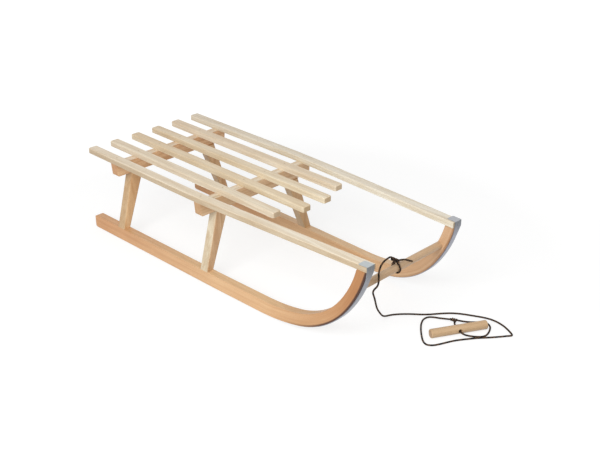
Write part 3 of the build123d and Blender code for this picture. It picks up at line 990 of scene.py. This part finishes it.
def cord_finish(name):
    """Dull braided yarn, black with brown tracers, with painted shade between the yarns."""
    material, w, shader = blank_finish(name)
    fuzz = w.noise(w.coordinates("Object"), rough=0.6, scale=fuzz_scale)
    colour = w.mix(w.ramp(w.stored("tracer", "Fac"), *noise_range), paint(cord_black), paint(cord_brown))
    fuzzy = w.mix(fuzz_paling, colour, paint(cord_fuzz))
    colour = w.mix(w.times(fuzz, fuzz_share), colour, fuzzy)
    # painted shade in the valleys between the yarns
    gaps = w.ramp(w.stored("valley", "Fac"), *valley_shade_range, 0.0, valley_shade_share)
    w.give(shader, {
        "Base Color": w.mix(gaps, colour, paint(cord_valley_painted_shade)), "Normal": w.bump(*cord_bump, fuzz),
        "Roughness": cord_roughness, "Specular IOR Level": cord_specular})
    return material


cord_material = cord_finish("braided cord")


def braided(name, lines):
    """Several lengths of cord as one piece."""
    parts = [braid(f"{name}_{number}", smooth_line(line))[0] for number, line in enumerate(lines)]
    with bpy.context.temp_override(active_object=parts[0], object=parts[0], selected_objects=parts,
                                   selected_editable_objects=parts):
        bpy.ops.object.join()
    parts[0].name = name
    parts[0].data.name = name
    return parts[0]


def coil(start, end, radius, turns, lead=0.0):
    """Control points of a helix round the line from start to end."""
    start, end = Vector(start), Vector(end)
    along = (end - start).normalized()
    side = along.cross(Vector((0, 1, 0))).normalized()
    other = along.cross(side)
    count = int(turns * 10)
    points = []
    for step in range(count + 1):
        angle = lead + 2 * math.pi * turns * step / count
        centre = start.lerp(end, step / count)
        points.append(tuple(centre + (side * math.cos(angle) + other * math.sin(angle)) * radius))
    return points


# the hitch: a turn round the bar, two lumps of wraps on top of it, a stub and a free end
bar_radius = 0.0085
ring_gap = 0.0003
ring_radius = bar_radius + ring_gap + cord_diameter / 2
ring_y = -0.012
ring_sway = 0.0012
ring_steps = 24
ring_degrees = 345
ring = []
for step in range(ring_steps + 1):
    angle = math.radians(90 - ring_degrees * step / ring_steps)
    ring.append((bar_x + ring_radius * math.cos(angle), ring_y + ring_sway * math.sin(angle * 0.5),
                 bar_z + ring_radius * math.sin(angle)))
knot_high, knot_middle, knot_low = routed([(1, -29, 29), (1.6, -20.5, 22.5), (2.5, -9, 14.5)], bar_z)
wraps_high = coil(knot_high, knot_middle, radius=0.0026, turns=1.8)
wraps_low = coil(knot_middle, knot_low, radius=0.0029, turns=2.4, lead=0.8)
tail = routed([(2, -12, 17.5), (8, -2, 19.5), (13, 9, 15), (17, 20, 9)], bar_z)
stub = routed([(1, -20, 21), (0, -23, 17), (-1, -26, 13)], bar_z)
hitch = braided("cord_hitch_turns", (ring, wraps_high, wraps_low, tail, stub))

# the knot of the small loop: wraps round both of its ends, and a stub
knot_back, knot_front = routed([(66.5, 100.6, 4.9), (80, 104.6, 4.9)])
knot_wraps = coil(knot_back, knot_front, radius=0.0023, turns=3.1)
knot_stub = routed([(75, 102, 6), (79, 98, 6.5), (83, 94, 4.5)])
knot = braided("cord_knot_turns", (knot_wraps, knot_stub))

pull_cord, pull_centres = braid("pull_cord_braid", smooth_line(routed(cord_route)))
loop_cord, loop_centres = braid("loop_cord_braid", smooth_line(routed(loop_route)))
cord_pieces = ((hitch, "cord_hitch"), (knot, "cord_knot"), (pull_cord, "pull_cord"), (loop_cord, "cord_loop"))
for piece, node in cord_pieces:
    piece.data.materials.clear()
    piece.data.materials.append(cord_material)
    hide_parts(node)
    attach(piece, "root")


# Handle
# A turned and varnished beech rod with a cross hole, through which the cord's loop passes.
# It lies loose on the ground.

handle_pale = (211, 181, 144)
handle_deep = (185, 148, 106)
handle_board = 31.9
handle_edge_radius = 0.0006
handle_turn = math.radians(61.3)
handle_low, handle_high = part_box("cord_handle")
handle_middle = (handle_low + handle_high) / 2


def handle_frame(w):
    """The handle's own axes, so that its grain runs along it."""
    turned = []
    centred = w.vector("SUBTRACT", w.coordinates("Object"), tuple(handle_middle))
    for port in (centred, w.coordinates("Normal")):
        turned.append(w.put("ShaderNodeVectorRotate", {"rotation_type": "Z_AXIS"}, {
            "Vector": port, "Angle": -handle_turn}))
    return turned


handle_finish = wood("handle beech", handle_pale, handle_deep, handle_board, frame_maker=handle_frame)
handle = eased_copy("cord_handle", "handle_wood", (handle_edge_radius,) * 3, handle_finish)
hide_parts("cord_handle")
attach(handle, "root")


# Room
# A pale plain floor, soft light from above and from the near side, and the camera at
# the photograph's viewing angle.

camera_place = (1.5729, -1.4579, 1.1702)
camera_azimuth = math.radians(44.974)
camera_elevation = math.radians(26.524)
camera_roll = math.radians(-0.126)
camera_data = bpy.data.cameras.new("camera")
camera_data.lens = 60.81
camera_data.sensor_width = 36.0
camera = bpy.data.objects.new("camera", camera_data)
turn = Matrix.Rotation(camera_azimuth, 4, "Z") @ Matrix.Rotation(math.pi / 2 - camera_elevation, 4, "X")
camera.matrix_world = Matrix.Translation(camera_place) @ turn @ Matrix.Rotation(camera_roll, 4, "Z")
scene.collection.objects.link(camera)
scene.camera = camera

floor_half = 20.0
floor_tone = (212, 212, 212)
floor_seen_tone = (160, 160, 160)
floor_roughness = 0.9
floor_lift = 0.71
floor_lift_far = 1.0
floor_lift_run = (0.7, 1.8)
white = (1.0, 1.0, 1.0, 1.0)

floor_mesh = bpy.data.meshes.new("floor")
corners = ((-1, -1), (1, -1), (1, 1), (-1, 1))
floor_mesh.from_pydata([(x * floor_half, y * floor_half, 0) for x, y in corners], [], [(0, 1, 2, 3)])
floor = placed("floor", floor_mesh)


def seen_directly(w):
    """One for what the camera sees, in a mirror or through glass too."""
    path = w.add("ShaderNodeLightPath").outputs
    seen = w.math("MAXIMUM", path["Is Camera Ray"], path["Is Glossy Ray"])
    return w.math("MAXIMUM", seen, path["Is Transmission Ray"])


floor_finish, w, shader = blank_finish("pale floor")
seen = seen_directly(w)
w.give(shader, {
    "Base Color": w.mix(seen, paint(floor_tone), paint(floor_seen_tone)),
    "Roughness": floor_roughness, "Specular IOR Level": 0.0})
away = w.vector("LENGTH", w.coordinates("Object"))
strength = w.times(seen, w.ramp(away, *floor_lift_run, floor_lift, floor_lift_far))
lift = w.put("ShaderNodeEmission", None, {"Color": white, "Strength": strength})
both = w.put("ShaderNodeAddShader", None, {0: shader.outputs[0], 1: lift})
w.give(floor_finish.node_tree.nodes["Material Output"], {0: both})
floor_mesh.materials.append(floor_finish)

sky_light = 0.56
world = bpy.data.worlds.new("studio")
world.use_nodes = True
scene.world = world
w = Weave(world.node_tree)
w.give(world.node_tree.nodes["Background"], {
    "Color": white, "Strength": w.ramp(seen_directly(w), 0.0, 1.0, sky_light, 1.0)})

lamp_aim = Vector((0.0, 0.0, 0.1))
# Columns: name, place, size, power
lamps = (
    ("soft box beside", (0.82, -2.20, 1.83), 1.5, 45.0),
    ("soft box in front", (1.60, -1.40, 1.15), 1.2, 7.0),
)
for name, place, size, power in lamps:
    lamp = bpy.data.lights.new(name, "AREA")
    lamp.shape = "SQUARE"
    lamp.size = size
    lamp.energy = power
    holder = placed(name, lamp)
    holder.location = place
    holder.rotation_euler = (Vector(place) - lamp_aim).to_track_quat("Z", "Y").to_euler()

scene.view_settings.view_transform = "Standard"
